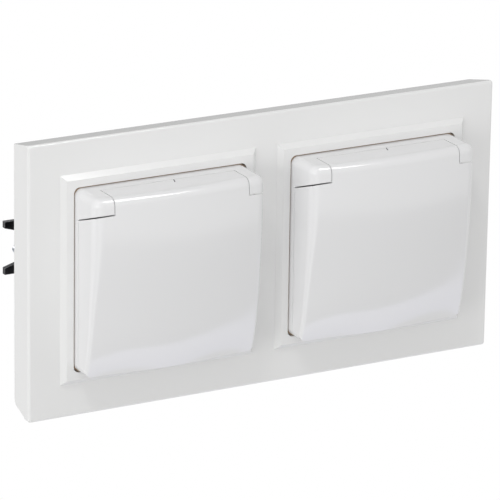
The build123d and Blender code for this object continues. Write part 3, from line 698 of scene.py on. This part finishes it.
def make_slotted_head(tree):
    """The chamfered head with its screwdriver slot."""
    straight = HEAD_HEIGHT - HEAD_CHAMFER
    rim = cylinder(tree, HEAD_RADIUS, straight, PLATE_THICKNESS)
    crown_start = PLATE_THICKNESS + straight
    crown = cylinder(tree, HEAD_RADIUS, HEAD_CHAMFER, crown_start, HEAD_RADIUS - HEAD_CHAMFER)
    whole = add_node(tree, "GeometryNodeMeshBoolean", operation="UNION", solver="EXACT")
    tree.links.new(rim, whole.inputs["Mesh 2"])
    tree.links.new(crown, whole.inputs["Mesh 2"])
    block = add_node(tree, "GeometryNodeMeshCube", {"Size": (SLOT_LENGTH, SLOT_WIDTH, CUT_HEIGHT)})
    floor_height = PLATE_THICKNESS + HEAD_HEIGHT - SLOT_DEPTH
    cutter = add_node(tree, "GeometryNodeTransform", {
        "Geometry": block.outputs["Mesh"], "Translation": (0.0, 0.0, floor_height + CUT_HEIGHT / 2)})
    cut = add_node(tree, "GeometryNodeMeshBoolean", operation="DIFFERENCE", solver="EXACT")
    tree.links.new(whole.outputs["Mesh"], cut.inputs["Mesh 1"])
    tree.links.new(cutter.outputs["Geometry"], cut.inputs["Mesh 2"])
    return cut.outputs["Mesh"]


def make_screw_tree():
    """A slotted screw along Z, out of the wall, stood on its place."""
    tree, entry = new_tree("claw_screw", Pitch=THREAD_PITCH, Thread=THREAD_LENGTH, Place=ORIGIN)
    head = make_slotted_head(tree)
    tip = THREAD_PITCH
    core = cylinder(tree, CORE_RADIUS, SHANK_END - tip + PLATE_THICKNESS, tip - SHANK_END)
    point = cylinder(
        tree, CORE_RADIUS * POINT_TAPER, tip + POINT_SINK, -SHANK_END, CORE_RADIUS - POINT_STEP)
    turns = add_node(tree, "ShaderNodeMath", operation="DIVIDE")
    tree.links.new(entry["Thread"], turns.inputs[0])
    tree.links.new(entry["Pitch"], turns.inputs[1])
    helix = add_node(tree, "GeometryNodeCurveSpiral", {
        "Resolution": HELIX_POINTS, "Rotations": turns.outputs["Value"], "Start Radius": CORE_RADIUS,
        "End Radius": CORE_RADIUS, "Height": entry["Thread"]})
    upright = add_node(tree, "GeometryNodeSetCurveNormal", {"Curve": helix.outputs["Curve"]}, mode="Z_UP")
    half = add_node(tree, "ShaderNodeMath", operation="DIVIDE")
    half.inputs[1].default_value = 2.0
    tree.links.new(entry["Pitch"], half.inputs[0])
    diamond = add_node(tree, "GeometryNodeCurvePrimitiveCircle", {
        "Resolution": DIAMOND_SIDES, "Radius": half.outputs["Value"]})
    ridge = add_node(tree, "GeometryNodeCurveToMesh", {
        "Curve": upright.outputs["Curve"], "Profile Curve": diamond.outputs["Curve"], "Fill Caps": True})
    flat = add_node(tree, "GeometryNodeSetShadeSmooth", {
        "Geometry": ridge.outputs["Mesh"], "Shade Smooth": False})
    thread = add_node(tree, "GeometryNodeTransform", {
        "Geometry": flat.outputs["Geometry"], "Translation": (0.0, 0.0, THREAD_START - SHANK_END)})
    out_of_wall = add_node(tree, "GeometryNodeTransform", {
        "Geometry": join(tree, head, core, point, thread.outputs["Geometry"]),
        "Rotation": OUT_OF_WALL})
    placed = add_node(tree, "GeometryNodeTransform", {
        "Geometry": out_of_wall.outputs["Geometry"], "Translation": entry["Place"]})
    finish_tree(tree, placed.outputs["Geometry"], entry)
    return tree


SCREW_TREE = make_screw_tree()
for gang, side in GANGS.items():
    for where, outward in (("outer", side), ("inner", -side)):
        place = (side * GANG_PITCH / 2 + outward * CLAW_SCREW_X, 0.0, 0.0)
        screw = build_piece(f"{gang}_{where}_threaded_screw", SCREW_TREE, "zinc_steel", Place=place)
        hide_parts(f"{gang}_{where}_claw_screw")
        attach(screw, f"{gang}_{where}_claw_screw_body")
        print(screw.name, "faces", len(screw.data.polygons))

# %% [markdown]
# ## Frame seals
# A rubber ring keeps rain out between each insert and the frame. The solid is its flat part, which
# is clamped behind the insert's flange. Here the ring also gets a thin brown lip that stands up in the
# gap and shows as a brown line around the lid. Both follow the same rounded square, so nodes sweep
# two rectangles along it, and one mesh takes the solid's place.

# %% Seals with their lips
INSERT_SIZE = 55.6
INSERT_CORNER = 2.4
INSERT_GAP = 0.35
SEAL_BACK = 9.0
SEAL_FRONT = 10.0
SEAL_WIDTH = 1.5
LIP_WIDTH = 0.29
LIP_FRONT = 12.9
CORNER_POINTS = 10
SEAL_PARTS = {
    "Ring": (INSERT_SIZE - SEAL_WIDTH, INSERT_CORNER - SEAL_WIDTH / 2, SEAL_WIDTH, SEAL_FRONT),
    "Lip": (INSERT_SIZE + INSERT_GAP, INSERT_CORNER + INSERT_GAP / 2, LIP_WIDTH, LIP_FRONT),
}


def seal_sizes():
    """The tree's inputs: outline, corner, width, depth and place of the ring and of the lip."""
    sizes = {"Place": ORIGIN}
    for part, (outline, corner, width, front) in SEAL_PARTS.items():
        sizes[part + " Outline"] = outline
        sizes[part + " Corner"] = corner
        sizes[part + " Width"] = width
        sizes[part + " Depth"] = front - SEAL_BACK
        sizes[part + " Place"] = (0.0, 0.0, (front + SEAL_BACK) / 2)
    return sizes


def swept_ring(tree, entry, part):
    """A rectangular section swept along a rounded square that lies flat."""
    square = add_node(tree, "GeometryNodeCurvePrimitiveQuadrilateral", {
        "Width": entry[part + " Outline"], "Height": entry[part + " Outline"]})
    rounded = add_node(tree, "GeometryNodeFilletCurve", {
        "Curve": square.outputs["Curve"], "Radius": entry[part + " Corner"],
        "Count": CORNER_POINTS}, mode="POLY")
    lifted = add_node(tree, "GeometryNodeTransform", {
        "Geometry": rounded.outputs["Curve"], "Translation": entry[part + " Place"]})
    upright = add_node(tree, "GeometryNodeSetCurveNormal", {
        "Curve": lifted.outputs["Geometry"]}, mode="Z_UP")
    profile = add_node(tree, "GeometryNodeCurvePrimitiveQuadrilateral", {
        "Width": entry[part + " Width"], "Height": entry[part + " Depth"]})
    swept = add_node(tree, "GeometryNodeCurveToMesh", {
        "Curve": upright.outputs["Curve"], "Profile Curve": profile.outputs["Curve"]})
    return swept.outputs["Mesh"]


def make_seal_tree():
    """The flat ring and the lip around it, turned to face out of the wall."""
    tree, entry = new_tree("frame_seal", **seal_sizes())
    rings = [swept_ring(tree, entry, part) for part in SEAL_PARTS]
    placed = add_node(tree, "GeometryNodeTransform", {
        "Geometry": join(tree, *rings), "Rotation": OUT_OF_WALL,
        "Translation": entry["Place"]})
    finish_tree(tree, placed.outputs["Geometry"], entry)
    return tree


SEAL_TREE = make_seal_tree()
for gang, side in GANGS.items():
    place = (side * GANG_PITCH / 2, 0.0, 0.0)
    seal = build_piece(f"{gang}_lipped_seal", SEAL_TREE, "grey_rubber", Place=place)
    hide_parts(f"{gang}_frame_seal")
    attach(seal, "frame_body")
    front = min(vertex.co.y for vertex in seal.data.vertices) / MM
    print(seal.name, "faces", len(seal.data.polygons), "front at", round(front, 2))

# %% [markdown]
# ## Dark ticks
# On top of each lid, a little right of the middle, there is a small dark tick. What it is can't be
# told, so it is taken for the scar that a mould's inlet leaves. What it is can't be told, so it is
# drawn as a thin dark sliver: nodes sweep a small circle along a short line and sink it halfway into
# the lid's flat top.

# %% Slivers on the lids
LID_TOP = 27.8
TICK_RADIUS = 0.13
TICK_SIDES = 6
TICK_BACK = (1.8, -17.6)
TICK_END = (1.15, -19.6)


def make_tick_tree():
    """A short thin rod between two points, moved to its lid."""
    tree, entry = new_tree(
        "dark_tick", Back=(*TICK_BACK, LID_TOP), End=(*TICK_END, LID_TOP), Radius=TICK_RADIUS,
        Place=ORIGIN)
    line = add_node(tree, "GeometryNodeCurvePrimitiveLine", {"Start": entry["Back"], "End": entry["End"]})
    section = add_node(tree, "GeometryNodeCurvePrimitiveCircle", {
        "Resolution": TICK_SIDES, "Radius": entry["Radius"]})
    rod = add_node(tree, "GeometryNodeCurveToMesh", {
        "Curve": line.outputs["Curve"], "Profile Curve": section.outputs["Curve"], "Fill Caps": True})
    placed = add_node(tree, "GeometryNodeTransform", {
        "Geometry": rod.outputs["Mesh"], "Translation": entry["Place"]})
    finish_tree(tree, placed.outputs["Geometry"], entry)
    return tree


TICK_TREE = make_tick_tree()
for gang, side in GANGS.items():
    place = (side * GANG_PITCH / 2, 0.0, 0.0)
    tick = build_piece(f"{gang}_dark_tick", TICK_TREE, "black_insulator", Place=place)
    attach(tick, f"{gang}_lid_body")
    print(tick.name, "faces", len(tick.data.polygons))

# %% [markdown]
# ## Sizes
# The boxes of the dressed model and of the CAD model are printed side by side. The dressed
# model must be as large as the CAD model.

# %% Sizes and finish
boxes = {"cad": CAD_BOX, "visual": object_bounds()}
for name, box in boxes.items():
    print(name, [tuple(round(c, 4) for c in corner) for corner in box])
